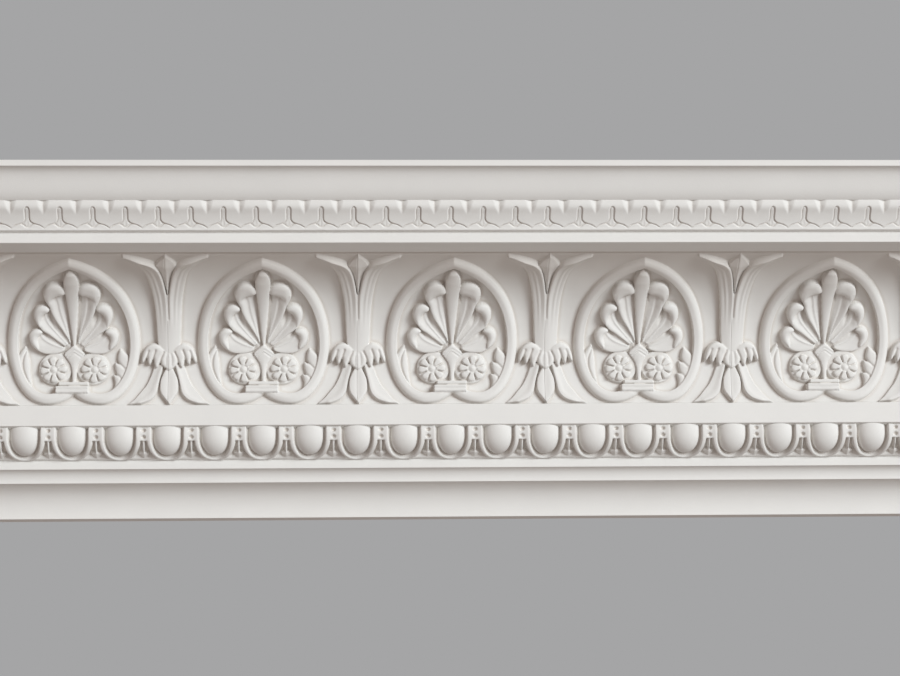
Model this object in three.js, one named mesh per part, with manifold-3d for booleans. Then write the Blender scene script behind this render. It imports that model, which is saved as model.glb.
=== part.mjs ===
import * as THREE from 'three';
import { mergeVertices } from 'three/addons/utils/BufferGeometryUtils.js';
import Module from 'manifold-3d';

// A length of enriched plaster cornice, cast in one piece with a hollow back.
// X runs along the moulding, the face looks towards -Y and the room, +Z is up.
// The origin is the middle of the strip that beds on the wall, halfway along.
// All sizes are in millimetres.

const wasm = await Module();
wasm.setup();

// Length and rhythm of the ornament
const repeatWidth = 152.4;
const repeatCount = 5;
const eggsPerRepeat = 4;
const leavesPerRepeat = 6;
const leafOffset = -2.8;

// Section, from the wall outwards and from the foot up
const lipThickness = 6.5;
const lowerCavetto = 22.4;
const upperCavetto = 8.8;
const stripHeight = 7.5;
const ovoloProjection = 22;
const ovoloHeight = 20.25;
const beadProjection = 3.2;
const beadHeight = 17.5;
const ledgeDepth = 2.8;
const coveRadius = 92.5;
const coveFoot = 1.2;
const soffitWidth = 17;
const coronaHeight = 9;
const quirkWidth = 3.6;
const ogeeProjection = 13.8;
const ogeeHeight = 19.5;
const cymaProjection = 20.5;
const cymaHeight = 18.7;
const crownStep = 1.6;
const crownHeight = 5.3;

// Hollow back
const shellThickness = 18;
const wallStrip = 36;
const ceilingStrip = 43;

// Carving depths
const ringRelief = 5.4;
const leafRelief = 6.4;
const eggRecess = 4;
const eggSwell = 1.8;
const slotDepth = 1.3;
const bedding = 2;
const coveFacets = 6;

// Slivers where carved forms cross are merged up to this size
const smallestFeature = 0.3;

// The ornament is squared up like a modeller's drawing: 188 squares to a repeat
// across, and 179 squares up the girth of the cove. The frieze stands a little to the right of
// the egg and dart.
const squaresAcross = 188;
const squaresUp = 179;
const friezeShift = 1.3;
const length = repeatWidth * repeatCount;
const square = repeatWidth / squaresAcross;
const degree = Math.PI / 180;

// Section levels that follow from the sizes above: p is measured out from the wall, z up from
// the foot
const ovoloBack = lipThickness + lowerCavetto + upperCavetto;
const ovoloFoot = lowerCavetto + upperCavetto + stripHeight;
const ovoloTop = ovoloFoot + ovoloHeight;
const beadFace = ovoloBack + ovoloProjection + beadProjection;
const beadTop = ovoloTop + beadHeight;
const coveBack = beadFace - ledgeDepth;
const coveBase = beadTop + coveFoot;
const coveFront = coveBack + coveRadius;
const soffitLevel = coveBase + coveRadius;
const coronaFace = coveFront + soffitWidth;
const ogeeBack = coronaFace + quirkWidth;
const ogeeFoot = soffitLevel + coronaHeight;
const cymaBack = ogeeBack + ogeeProjection;
const cymaFoot = ogeeFoot + ogeeHeight;
const crownFace = cymaBack + cymaProjection + crownStep;
const crownFoot = cymaFoot + cymaHeight;
const ceilingLevel = crownFoot + crownHeight;

// A point of the section (p out from the wall, z up from the foot) at x along the run
const place = (x, p, z) => new THREE.Vector3(x, -p, z - wallStrip / 2);

// A point of the cove: u squares along from the middle of the bay, v squares up the girth,
// h millimetres proud of the ground
const onCove = (bayMiddle) => (u, v, h) => {
  const turn = (v / squaresUp) * 90 * degree;
  const reach = coveRadius - h;
  const p = coveBack + coveRadius - reach * Math.cos(turn);
  return place(bayMiddle + u * square, p, coveBase + reach * Math.sin(turn));
};

// A point of the egg moulding: u squares along, a degrees down from the top of the quarter round,
// h millimetres proud of the shells
const onOvolo = (eggMiddle) => (u, a, h) => {
  const p = ovoloBack + (ovoloProjection + h) * Math.cos(a * degree);
  const z = ovoloTop - (ovoloHeight + h) * Math.sin(a * degree);
  return place(eggMiddle + u * square, p, z);
};

// The ogee that carries the leaf band, as one curve from its foot to its top
const steepness = 78 * degree;
const ogeeHandle = 8;
const ogeeStart = new THREE.Vector2(ogeeBack, ogeeFoot);
const ogeeEnd = new THREE.Vector2(cymaBack, cymaFoot);
const handle = new THREE.Vector2(Math.cos(steepness), Math.sin(steepness)).multiplyScalar(ogeeHandle);
const ogee = new THREE.CubicBezierCurve(
  ogeeStart,
  ogeeStart.clone().add(handle),
  ogeeEnd.clone().sub(handle),
  ogeeEnd,
);

// A point of the section h proud of the ogee, at s from 0 at its foot to 1 at its top
const besideOgee = (s, h) => {
  const tangent = ogee.getTangent(s);
  return ogee.getPoint(s).add(new THREE.Vector2(tangent.y, -tangent.x).multiplyScalar(h));
};

// A point of the leaf band, u squares along
const onOgee = (leafMiddle) => (u, s, h) => {
  const point = besideOgee(s, h);
  return place(leafMiddle + u * square, point.x, point.y);
};

// A closed geometry as a solid. Double corners are merged, faces that have shrunk to a line are
// dropped, and a form that was drawn the other way round is turned to face out.
function solidOf(geometry) {
  const bare = geometry.index ? geometry : geometry.clone();
  bare.deleteAttribute('normal');
  bare.deleteAttribute('uv');
  const merged = mergeVertices(bare, 1e-3);
  const corners = merged.getAttribute('position');
  const index = merged.getIndex();
  const triangles = [];
  for (let i = 0; i < index.count; i += 3) {
    const [a, b, c] = [index.getX(i), index.getX(i + 1), index.getX(i + 2)];
    if (a !== b && b !== c && c !== a) triangles.push(a, b, c);
  }
  const [A, B, C] = [new THREE.Vector3(), new THREE.Vector3(), new THREE.Vector3()];
  let volume = 0;
  for (let i = 0; i < triangles.length; i += 3) {
    A.fromBufferAttribute(corners, triangles[i]);
    B.fromBufferAttribute(corners, triangles[i + 1]);
    C.fromBufferAttribute(corners, triangles[i + 2]);
    volume += A.dot(B.cross(C));
  }
  if (volume < 0) triangles.reverse();
  const mesh = new wasm.Mesh({
    numProp: 3,
    vertProperties: new Float32Array(corners.array),
    triVerts: new Uint32Array(triangles),
  });
  return new wasm.Manifold(mesh);
}

// Skin through rows of points, each row a closed section; the two ends are closed by fans
function loft(rows) {
  const size = rows[0].length;
  const index = [];
  for (let i = 0; i + 1 < rows.length; i += 1) {
    for (let j = 0; j < size; j += 1) {
      const [a, b] = [i * size + j, i * size + ((j + 1) % size)];
      index.push(a, b, a + size, b, b + size, a + size);
    }
  }
  const last = (rows.length - 1) * size;
  for (let j = 1; j + 1 < size; j += 1) {
    index.push(0, j + 1, j);
    index.push(last, last + j, last + j + 1);
  }
  const geometry = new THREE.BufferGeometry().setFromPoints(rows.flat());
  geometry.setIndex(index);
  return solidOf(geometry);
}

// A carved leaf with a rounded back, as a ridge between two edges that run into the ground.
// Each station has a left and a right edge point [u, v] and the height of the ridge.
function ridgedLeaf(stations, on, side = 1) {
  return loft(stations.map(([left, right, height]) => [
    on(side * left[0], left[1], -bedding),
    on((side * (left[0] + right[0])) / 2, (left[1] + right[1]) / 2, height * leafRelief),
    on(side * right[0], right[1], -bedding),
  ]));
}

// A carved leaf with upright edges and a face that may tip from one edge to the other.
// Each station has a left and a right edge point [u, v] and the heights of the two edges.
function standingLeaf(stations, on, side = 1) {
  return loft(stations.map(([left, right, leftHeight, rightHeight]) => [
    on(side * left[0], left[1], -bedding),
    on(side * left[0], left[1], leftHeight * leafRelief),
    on(side * right[0], right[1], rightHeight * leafRelief),
    on(side * right[0], right[1], -bedding),
  ]));
}

// A boss over an outline of [u, v, h] points, with its crown over their middle
function boss(outline, on, crown) {
  const middle = outline.reduce((sum, point) => [sum[0] + point[0], sum[1] + point[1]], [0, 0]);
  const count = outline.length;
  const points = outline.map(([u, v]) => on(u, v, -bedding));
  outline.forEach(([u, v, h]) => points.push(on(u, v, h)));
  points.push(on(middle[0] / count, middle[1] / count, -bedding));
  points.push(on(middle[0] / count, middle[1] / count, crown));
  const index = [];
  for (let i = 0; i < count; i += 1) {
    const next = (i + 1) % count;
    index.push(i, next, count + i, next, count + next, count + i);
    index.push(2 * count, next, i);
    index.push(2 * count + 1, count + i, count + next);
  }
  const geometry = new THREE.BufferGeometry().setFromPoints(points);
  geometry.setIndex(index);
  return solidOf(geometry);
}

const mirrored = (make, stations, on) => [make(stations, on), make(stations, on, -1)];

// The pointed ring round each palmette. Its upper part is a two-centred arch, its lower part
// a half ellipse whose inner end turns in to meet its mirror image under the block.
function ring(on) {
  const springing = 63;
  const archCentre = -50;
  const outerArch = 115.5;
  const innerArch = 104.5;
  const footCentre = 26;
  const outerFoot = [39.5, 63];
  const innerFoot = [29.5, 52];
  const innerSpread = 8;
  const shoulder = 0.15;
  const archPoint = (radius, share) => {
    const angle = share * Math.acos(-archCentre / radius);
    return [archCentre + radius * Math.cos(angle), springing + radius * Math.sin(angle)];
  };
  const footPoint = ([width, depth], turn) => {
    const reach = turn > 90 ? width + innerSpread : width;
    const u = footCentre + reach * Math.cos(turn * degree);
    return [Math.max(u, 0), springing - depth * Math.sin(turn * degree)];
  };
  const archShares = [1, 0.7, 0.4, 0.1];
  const footTurns = [18, 42, 66, 90, 122];
  const stations = [
    ...archShares.map((share) => [archPoint(outerArch, share), archPoint(innerArch, share)]),
    ...footTurns.map((turn) => [footPoint(outerFoot, turn), footPoint(innerFoot, turn)]),
  ];
  const between = (from, to) => (1 - shoulder) * from + shoulder * to;
  const half = (side) => loft(stations.map(([outer, inner]) => [
    on(side * outer[0], outer[1], -bedding),
    on(side * between(outer[0], inner[0]), between(outer[1], inner[1]), ringRelief),
    on(side * inner[0], inner[1], ringRelief),
    on(side * inner[0], inner[1], -bedding),
  ]));
  return [half(1), half(-1)];
}

// The palmette inside the ring: a lance leaf and three hooked, scooped leaves on each side
function palmette(on) {
  const lance = [
    [[-1.5, 61], [1.5, 61], 0.6],
    [[-4.5, 86], [4.5, 86], 0.8],
    [[-7, 114], [7, 114], 1],
    [[-7.9, 134], [7.9, 134], 1.12],
    [[0, 153.5], [0, 153.5], 0],
  ];
  const upper = [
    [[4.5, 62], [4.5, 62], 0.5, 0.5],
    [[20, 91], [8.5, 97], 0.85, 0.4],
    [[28.2, 117], [9.5, 115], 0.85, 0.75],
    [[24.5, 129], [8.5, 126], 1.05, 1.05],
    [[16, 132.5], [13, 132], 0.6, 0.6],
  ];
  const middle = [
    [[8, 60.5], [8, 60.5], 0.5, 0.5],
    [[32, 80.5], [22, 84], 0.85, 0.4],
    [[39.3, 95], [25, 97], 1, 0.8],
    [[34, 107.5], [27, 107], 0.7, 0.7],
  ];
  const lower = [
    [[10, 56], [10, 56], 0.5, 0.5],
    [[33, 54.5], [27, 70], 0.85, 0.4],
    [[44, 66], [34, 75], 0.95, 0.75],
    [[40, 77], [36, 79], 0.7, 0.7],
  ];
  const shield = [
    [[-3, 62], [3, 62], 0.5, 0.5],
    [[-10.2, 52], [10.2, 52], 0.8, 0.8],
    [[-4, 40], [4, 40], 0.7, 0.7],
    [[-3.5, 22], [3.5, 22], 0.65, 0.65],
  ];
  return [
    ridgedLeaf(lance, on),
    ...[upper, middle, lower].flatMap((stations) => mirrored(standingLeaf, stations, on)),
    standingLeaf(shield, on),
  ];
}

// The two eight-petalled rosettes
function rosettes(on) {
  const petals = 8;
  const [petalReach, petalNotch] = [15.5, 11.5];
  const rosetteCentre = [20.3, 36];
  const rosette = (side) => boss(Array.from({ length: 2 * petals }, (_, i) => {
    const angle = (Math.PI * (i + 0.5)) / petals;
    const isTip = i % 2 === 0;
    const reach = isTip ? petalReach : petalNotch;
    const u = side * rosetteCentre[0] + reach * Math.cos(angle);
    const v = rosetteCentre[1] + reach * Math.sin(angle);
    return [u, v, (isTip ? 0.75 : 0.5) * leafRelief];
  }), on, leafRelief);
  return [rosette(-1), rosette(1)];
}

// The stepped block under the palmette
function block(on) {
  const step = (left, right, foot, top, height) => standingLeaf([
    [[left, foot], [right, foot], height, height],
    [[left, top], [right, top], height, height],
  ], on);
  return [step(-18.6, 14.6, 10.6, 18.9, 1.15), step(-15.8, 14.8, 18.9, 23.6, 0.98)];
}

// The two half leaves that fill the corners inside the ring: plain on the left, lobed on the right
function cornerLeaves(on) {
  const plain = [
    [[-48, 61], [-48, 61], 0],
    [[-56, 45], [-43.5, 45], 0.7],
    [[-41.5, 17], [-41.5, 17], 0],
  ];
  const lobed = [
    [[43, 57], [43, 57], 0.3],
    [[40.4, 49], [52.5, 48.5], 0.7],
    [[43.5, 42], [54, 42], 0.3],
    [[39.4, 38], [54, 37], 0.65],
    [[43, 31], [52.5, 31], 0.3],
    [[36.4, 26], [50.5, 26], 0.6],
    [[36, 12], [36, 12], 0],
  ];
  return [ridgedLeaf(plain, on), ridgedLeaf(lobed, on)];
}

// The calyx between two rings: two flaring stems, a pointed bud, a drooping collar and three leaves
function calyx(on) {
  const stem = [
    [[12, 59], [0, 59], 0.6, 0.8],
    [[13.6, 103], [0, 103], 0.6, 1],
    [[18.6, 136], [3.2, 136], 0.6, 1],
    [[28, 158], [9.5, 157.5], 0.5, 0.85],
    [[43, 175], [36, 176.5], 0.3, 0.4],
  ];
  const bud = [
    [[0, 118], [0, 118], 0],
    [[-10, 163], [10, 163], 0.9],
    [[0, 177], [0, 177], 0],
  ];
  const outerFingers = [[27, 52], [26.6, 43], [22, 47.5], [19.8, 40.5]];
  const innerFingers = [[15.8, 46], [13.4, 38], [8.8, 44.5], [0, 34.6]];
  const wing = [[-23.5, 58.5], [-14, 63], [-6, 58.5], [0, 54]];
  const [tipHeight, cleftHeight, collarCrown] = [1.15, 0.7, 1.3].map((share) => share * leafRelief);
  const turned = (edge) => edge.slice(0, -1).reverse().map(([u, v, h]) => [-u, v, h]);
  const heightOf = (i) => (i % 2 === 1 ? tipHeight : cleftHeight);
  const fingerEdge = [...outerFingers, ...innerFingers].map(([u, v], i) => [u, v, heightOf(i)]);
  const wingEdge = wing.map(([u, v]) => [u, v, cleftHeight]);
  const outline = [...fingerEdge, ...turned(fingerEdge), ...wingEdge, ...turned(wingEdge)];
  const collar = boss(outline, on, collarCrown);
  const oval = [
    [[-4, 38], [4, 38], 0.4],
    [[-9.4, 20], [9.4, 20], 0.8],
    [[0, 0], [0, 0], 0],
  ];
  const lower = [
    [[14.5, 40], [6, 40], 0.5, 0.5],
    [[21, 24], [9.8, 24], 0.35, 0.55],
    [[29.5, 12], [12.5, 12], 0.35, 0.55],
    [[41, 0.5], [28, 0], 0.2, 0.3],
  ];
  return [
    ...mirrored(standingLeaf, stem, on),
    ...mirrored(standingLeaf, lower, on),
    ridgedLeaf(bud, on),
    ridgedLeaf(oval, on),
    collar,
  ];
}

// The egg and dart as one course. Each row runs along at one angle down the quarter round, and
// gives [u, h] from the crown of an egg out to the middle of the dart; h is in millimetres.
function eggCourse() {
  const half = squaresAcross / eggsPerRepeat / 2;
  const floor = -eggRecess;
  const tabDrop = 34;
  const oval = (width, start, drop, angle) => {
    const share = Math.min(Math.max((angle - start) / drop, 0), 1);
    return width * Math.sqrt(1 - share * share);
  };
  const [eggHalf, innerHalf, outerHalf] = [13.3, 15.5, 20.8];
  const row = (angle, swell, dartHeight) => {
    const egg = Math.max(oval(eggHalf, 24, 60, angle), 1);
    const inner = Math.max(oval(innerHalf, 24, 64, angle), 1.6);
    const outer = oval(outerHalf, 25, 65, angle);
    return { angle, points: [[0, swell], [egg, floor], [inner, 0], [outer, 0], [half, dartHeight]] };
  };
  const rows = [
    row(-5, 0.6 * eggSwell, 0),
    row(tabDrop, 1.3 * eggSwell, 0),
    row(tabDrop + 3, 1.3 * eggSwell, floor),
    row(60, 0, 0.5 * floor),
    { angle: 84, points: [[0, -0.5], [0.8, -0.5], [1.6, 0], [8, 0], [half, floor]] },
  ];
  const eggPitch = repeatWidth / eggsPerRepeat;
  const reach = Math.ceil(length / eggPitch / 2);
  const columns = [[-1, 3], [-1, 2], [-1, 1], [1, 0], [1, 1], [1, 2], [1, 3], [1, 4]];
  const sections = [];
  for (let egg = -reach; egg <= reach; egg += 1) {
    const on = onOvolo(egg * eggPitch);
    columns.forEach(([side, k]) => {
      const face = rows.map(({ angle, points }) => on(side * points[k][0], angle, points[k][1]));
      const x = egg * eggPitch + side * rows[0].points[k][0] * square;
      const back = [ovoloFoot, ovoloTop].map((z) => place(x, ovoloBack - bedding, z));
      sections.push([...face, ...back]);
    });
  }
  return loft(sections);
}

// The leaf band as one course: each leaf has a slot down its middle whose foot flares out under
// the leaf, and a notch between it and the next. Rows run from the foot of the ogee to its top.
function leafCourse() {
  const half = squaresAcross / leavesPerRepeat / 2;
  const slotHalf = 3.2;
  const rows = [
    { s: 0.1, points: [[0, 0.4], [1.8 * slotHalf, 0.4], [half, 0.4]] },
    { s: 0.24, points: [[0, -slotDepth], [1.3 * slotHalf, 0], [half, 0]] },
    { s: 0.76, points: [[0, -slotDepth], [slotHalf, 0], [half, -0.3]] },
    { s: 1.08, points: [[0, 0.6], [0.6 * half, 0.6], [half, -slotDepth]] },
  ];
  const leafPitch = repeatWidth / leavesPerRepeat;
  const reach = Math.ceil(length / leafPitch / 2) + 1;
  const sections = [];
  for (let unit = -reach; unit <= reach; unit += 1) {
    const on = onOgee(leafOffset + unit * leafPitch);
    [[-1, 1], [1, 0], [1, 1], [1, 2]].forEach(([side, k]) => {
      const face = rows.map(({ s, points }) => on(side * points[k][0], s, points[k][1]));
      const u = side * rows[0].points[k][0];
      sections.push([...face, on(u, 0.95, -slotDepth - bedding), on(u, 0.05, -bedding)]);
    });
  }
  return loft(sections);
}

// The section as one closed outline, front first and then the hollow back
function sectionOutline() {
  const arc = (centreP, centreZ, radiusP, radiusZ, from, to, steps) => {
    const turns = [from * degree, to * degree];
    return new THREE.EllipseCurve(centreP, centreZ, radiusP, radiusZ, ...turns, from > to).getPoints(steps);
  };
  const cymaStart = new THREE.Vector2(cymaBack, cymaFoot);
  const cymaEnd = new THREE.Vector2(crownFace - crownStep, crownFoot);
  const [startSlope, endSlope] = [25, 5];
  const handleTo = (slope) => {
    const direction = new THREE.Vector2(Math.cos(slope * degree), Math.sin(slope * degree));
    return direction.multiplyScalar(cymaHeight / 2);
  };
  const cyma = new THREE.CubicBezierCurve(
    cymaStart,
    cymaStart.clone().add(handleTo(startSlope)),
    cymaEnd.clone().sub(handleTo(endSlope)),
    cymaEnd,
  );
  const backRadius = coveRadius + shellThickness;
  const lipEnd = lipThickness + lowerCavetto;
  const eggCover = 2 * eggRecess;
  const points = [
    new THREE.Vector2(0, 0),
    ...arc(lipEnd, 0, lowerCavetto, lowerCavetto, 180, 90, 6),
    ...arc(ovoloBack, lowerCavetto, upperCavetto, upperCavetto, 180, 90, 4),
    new THREE.Vector2(ovoloBack, ovoloFoot + eggCover),
    new THREE.Vector2(ovoloBack + ovoloProjection - eggCover, ovoloTop),
    new THREE.Vector2(beadFace, ovoloTop),
    new THREE.Vector2(beadFace, beadTop),
    new THREE.Vector2(coveBack, beadTop),
    ...arc(coveFront, coveBase, coveRadius, coveRadius, 180, 90, coveFacets),
    new THREE.Vector2(coronaFace, soffitLevel),
    new THREE.Vector2(coronaFace, ogeeFoot),
    besideOgee(0, 0),
    besideOgee(0.1, 0),
    ...[0.15, 0.4, 0.6, 0.85].map((share) => besideOgee(share, -slotDepth - bedding / 2)),
    cymaStart,
    ...cyma.getPoints(6).slice(1),
    new THREE.Vector2(crownFace, crownFoot),
    new THREE.Vector2(crownFace, ceilingLevel),
    new THREE.Vector2(crownFace - ceilingStrip, ceilingLevel),
    new THREE.Vector2(ogeeBack - shellThickness * 0.8, cymaFoot - 0.2 * ogeeHeight),
    ...arc(coveFront, coveBase, backRadius, backRadius, 90, 180, 6),
    new THREE.Vector2(beadFace - 1.3 * shellThickness, ovoloTop),
    new THREE.Vector2(0, wallStrip),
  ];
  return new THREE.Shape(points);
}

// The plain run of the moulding, extruded and turned so that its face looks towards -Y
function plainRun() {
  const settings = { depth: length, steps: 1, bevelEnabled: false };
  const geometry = new THREE.ExtrudeGeometry(sectionOutline(), settings);
  geometry.translate(0, -wallStrip / 2, -length / 2);
  const along = new THREE.Vector3(-1, 0, 0);
  const out = new THREE.Vector3(0, -1, 0);
  const up = new THREE.Vector3(0, 0, 1);
  geometry.applyMatrix4(new THREE.Matrix4().makeBasis(out, up, along));
  return solidOf(geometry);
}

// A block as long as the run, used to trim the ornament off square at the two ends
function trimmingBlock() {
  return solidOf(new THREE.BoxGeometry(length, 2 * crownFace, 2 * ceilingLevel));
}

function cornice() {
  const raised = [eggCourse(), leafCourse()];
  for (let bay = 0; bay < repeatCount; bay += 1) {
    const middle = (bay - (repeatCount - 1) / 2) * repeatWidth;
    const on = onCove(middle + friezeShift * square);
    raised.push(...ring(on), ...palmette(on), ...rosettes(on), ...block(on), ...cornerLeaves(on));
  }
  for (let joint = 0; joint <= repeatCount; joint += 1) {
    const middle = (joint - repeatCount / 2) * repeatWidth;
    raised.push(...calyx(onCove(middle + friezeShift * square)));
  }
  const ornament = wasm.Manifold.union(raised).intersect(trimmingBlock());
  return plainRun().add(ornament).simplify(smallestFeature);
}

// A solid back as a geometry for display
function geometryOf(solid) {
  const mesh = solid.getMesh();
  const geometry = new THREE.BufferGeometry();
  geometry.setAttribute('position', new THREE.BufferAttribute(new Float32Array(mesh.vertProperties), 3));
  geometry.setIndex(new THREE.BufferAttribute(new Uint32Array(mesh.triVerts), 1));
  return geometry;
}

const plaster = new THREE.MeshStandardMaterial({ color: 0xe2e1dc, roughness: 0.85, metalness: 0 });
const moulding = new THREE.Mesh(geometryOf(cornice()), plaster);
moulding.name = 'cornice';

const part = new THREE.Group();
part.name = 'cornice_section';
part.add(moulding);

export default part;
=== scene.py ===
import math
from itertools import accumulate
from types import SimpleNamespace

import bpy
import numpy as np
from bpy.props import FloatProperty, FloatVectorProperty, IntProperty, PointerProperty
from bpy.types import NodeSocket, Operator, Panel, PropertyGroup
from mathutils import Matrix, Vector


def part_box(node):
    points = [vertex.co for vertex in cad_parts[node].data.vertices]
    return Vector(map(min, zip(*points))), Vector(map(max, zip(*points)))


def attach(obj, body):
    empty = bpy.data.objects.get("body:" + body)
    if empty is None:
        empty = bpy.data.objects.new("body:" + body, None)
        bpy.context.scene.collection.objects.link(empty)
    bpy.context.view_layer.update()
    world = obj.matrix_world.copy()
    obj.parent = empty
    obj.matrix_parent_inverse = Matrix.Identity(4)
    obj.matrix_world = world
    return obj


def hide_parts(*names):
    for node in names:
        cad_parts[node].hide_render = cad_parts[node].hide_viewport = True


bl_info = {
    "name": "Plaster cornice length",
    "version": (1, 0, 0),
    "blender": (4, 5, 0),
    "location": "3D View > Sidebar > Cornice",
    "description": "Builds a length of plaster cornice with palmette frieze, egg and dart and leaf band",
    "category": "Add Mesh",
}

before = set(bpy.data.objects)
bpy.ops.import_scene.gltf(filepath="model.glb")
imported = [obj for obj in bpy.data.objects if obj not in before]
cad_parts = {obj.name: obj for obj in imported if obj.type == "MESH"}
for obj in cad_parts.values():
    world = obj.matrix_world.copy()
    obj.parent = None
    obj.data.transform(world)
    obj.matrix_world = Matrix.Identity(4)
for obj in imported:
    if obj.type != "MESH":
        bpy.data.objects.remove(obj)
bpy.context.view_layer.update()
LOW, HIGH = (Vector(corner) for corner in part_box("cornice"))

NODE = "cornice"
BODY = "root"
MM = 0.001

# The ornament is squared up as on a modeller's drawing: 188 squares to a repeat across,
# and 179 squares up the girth of the cove.
SQUARES_ACROSS = 188
SQUARES_UP = 179
EGGS_PER_REPEAT = 4
LEAVES_PER_REPEAT = 6
# The squares of the leaf band run from its foot to its top between these two lines of the drawing.
LEAF_FOOT_LINE = 10.6
LEAF_TOP_LINE = 41.6
# The frieze stands this many squares right of the egg and dart.
FRIEZE_SHIFT = 1.3
# A fine line runs along the cove just under the soffit, at this height and half as wide as this.
COVE_LINE_AT = 176
COVE_LINE_HALF = 1.8
# Painted shade under the soffit: the cove is tinted darker above this line of the drawing, up to this share
# at the soffit.
SHADE_FROM = 100
SHADE_SHARE = 0.9


def millimetres(name, description, default):
    """A length that is never less than zero, given in millimetres and kept in metres."""
    return FloatProperty(
        name=name, description=description, default=default * MM, min=0, unit="LENGTH", precision=5
    )


def degrees(name, description, default):
    """An angle, given in degrees and kept in radians."""
    return FloatProperty(name=name, description=description, default=math.radians(default), subtype="ANGLE")


def number(name, description, default):
    """A number that is never less than zero."""
    return FloatProperty(name=name, description=description, default=default, min=0)


def linear_colour(name, description, default):
    """A colour in linear light."""
    return FloatVectorProperty(
        name=name, description=description, default=default, size=3, min=0, max=1, subtype="COLOR"
    )


def position(name, description, default):
    """A place in metres."""
    return FloatVectorProperty(name=name, description=description, default=default, size=3, unit="LENGTH")


class SectionSizes(PropertyGroup):
    """Members of the section, from the wall outwards and from the foot up."""

    repeats: IntProperty(name="Repeats", description="Palmettes along the run", default=5, min=1)
    lip: millimetres("Lip", "Thickness of the lip at the wall", 6.5)
    lower_cavetto: millimetres("Lower cavetto", "Radius of the large hollow at the foot", 22.4)
    upper_cavetto: millimetres("Upper cavetto", "Radius of the small hollow above", 8.8)
    strip: millimetres("Strip", "Height of the flat strip under the eggs", 7.5)
    ovolo_projection: millimetres("Ovolo projection", "Projection of the egg moulding", 22)
    ovolo_height: millimetres("Ovolo height", "Height of the egg moulding", 20.25)
    bead_projection: millimetres("Fillet projection", "Step out to the fillet above the eggs", 3.2)
    bead_height: millimetres("Fillet height", "Height of this fillet", 17.5)
    ledge: millimetres("Ledge", "Depth of the ledge at the foot of the cove", 2.8)
    cove_radius: millimetres("Cove radius", "Radius of the deep cove", 92.5)
    cove_foot: millimetres("Cove foot", "Upright below the curve of the cove", 1.2)
    soffit: millimetres("Soffit", "Width of the flat soffit", 17)
    corona: millimetres("Corona", "Height of the soffit's fillet", 9)
    quirk: millimetres("Quirk", "Step out to the leaf band", 3.6)
    ogee_projection: millimetres("Ogee projection", "Projection of the leaf band", 13.8)
    ogee_height: millimetres("Ogee height", "Height of the leaf band", 19.5)
    cyma_projection: millimetres("Cyma projection", "Projection of the crowning cyma", 20.5)
    cyma_height: millimetres("Cyma height", "Height of the crowning cyma", 18.7)
    crown_step: millimetres("Crown step", "Step out to the top fillet", 1.6)
    crown: millimetres("Crown", "Height of the top fillet", 5.3)
    shell: millimetres("Shell", "Thickness of the cast behind the cove", 18)
    wall_strip: millimetres("Wall strip", "Height of the bed on the wall", 36)
    ceiling_strip: millimetres("Ceiling strip", "Width of the bed on the ceiling", 43)


class CarvingSizes(PropertyGroup):
    """Depths of the carving and closeness of its surface points."""

    steepness_pull: number("Pull", "How strongly points draw to steep places", 3)
    ring_relief: millimetres("Ring", "Relief of the pointed rings", 5.4)
    leaf_relief: millimetres("Leaves", "Relief of the palmettes and calyxes", 6.4)
    egg_recess: millimetres("Egg groove", "Depth of the groove round each egg", 4)
    egg_swell: millimetres("Egg swell", "Height of the egg above its shell", 2.1)
    slot_depth: millimetres("Leaf slot", "Depth of the slots in the leaf band", 1.3)
    leaf_offset: millimetres("Leaf offset", "From the middle of the run to the first slot", 2.8)
    cove_line: millimetres("Cove line", "Depth of the fine line under the soffit", 1.4)
    bed: millimetres("Bed", "Depth of the pocket under each carved course", 4)
    frieze_point: millimetres("Frieze point", "Spacing of surface points in the frieze", 0.6)
    course_point: millimetres("Course point", "The same in the two narrow courses", 0.56)
    arris: millimetres("Arris", "Length cut off each side of a soft arris", 0.5)
    waver: millimetres("Waver", "Unevenness of the hand-worked surface", 0.12)


class PlasterLook(PropertyGroup):
    """Colours of the cast and its paint, of the painted shade in its hollows, and of the studio."""

    face: linear_colour("Face", "Thin off-white paint on the face", (0.80, 0.79, 0.765))
    # Painted shade: the warm grey that the face is tinted to in hollows and under the soffit, standing in
    # for shade.
    painted_shade: linear_colour("Crevice", "Warm grey that gathers in the hollows", (0.70, 0.665, 0.625))
    back: linear_colour("Back", "Bare plaster of the back and the cut ends", (0.66, 0.645, 0.61))
    floor: linear_colour("Floor", "Pale studio floor", (0.72, 0.72, 0.71))
    surround: linear_colour("Surround", "Grey of the studio", (0.376, 0.376, 0.381))
    bounce: linear_colour("Bounce", "Warm light given back all round", (0.335, 0.272, 0.246))
    key: linear_colour("Key", "Cool daylight from the window", (0.905, 0.968, 1.0))


class StudioSizes(PropertyGroup):
    """Camera, lights and floor."""

    elevation: degrees("Elevation", "Camera looks up by this", 23.5)
    turn: degrees("Turn", "Camera stands off to the left by this", 2.693)
    roll: degrees("Roll", "Camera leans by this", -0.178)
    distance: millimetres("Distance", "From the camera to the moulding", 2030.6)
    aim_rise: millimetres("Aim rise", "From the foot of the cove up to the aim", 53.43)
    left: millimetres("Left", "Camera stands this far left of the middle", 0.58)
    lens: number("Lens", "Focal length in millimetres for a 36 mm frame", 100.2)
    floor_drop: millimetres("Floor drop", "From the moulding down to the floor", 2000)
    floor_side: millimetres("Floor side", "Side of the floor", 12000)
    key_place: position("Key place", "Place of the large light", (6.9, -8.85, 0.9))
    key_side: millimetres("Key side", "Side of the large light", 4800)
    key_power: number("Key power", "Power of the large light in watts", 145)
    fill_place: position("Fill place", "Place of the weak light behind", (-2.2, 3.9, 1.5))
    fill_side: millimetres("Fill side", "Side of the weak light behind", 2000)
    fill_power: number("Fill power", "Power of the weak light behind in watts", 9)
    spread: degrees("Spread", "Angle over which the lights shine", 60)


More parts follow.
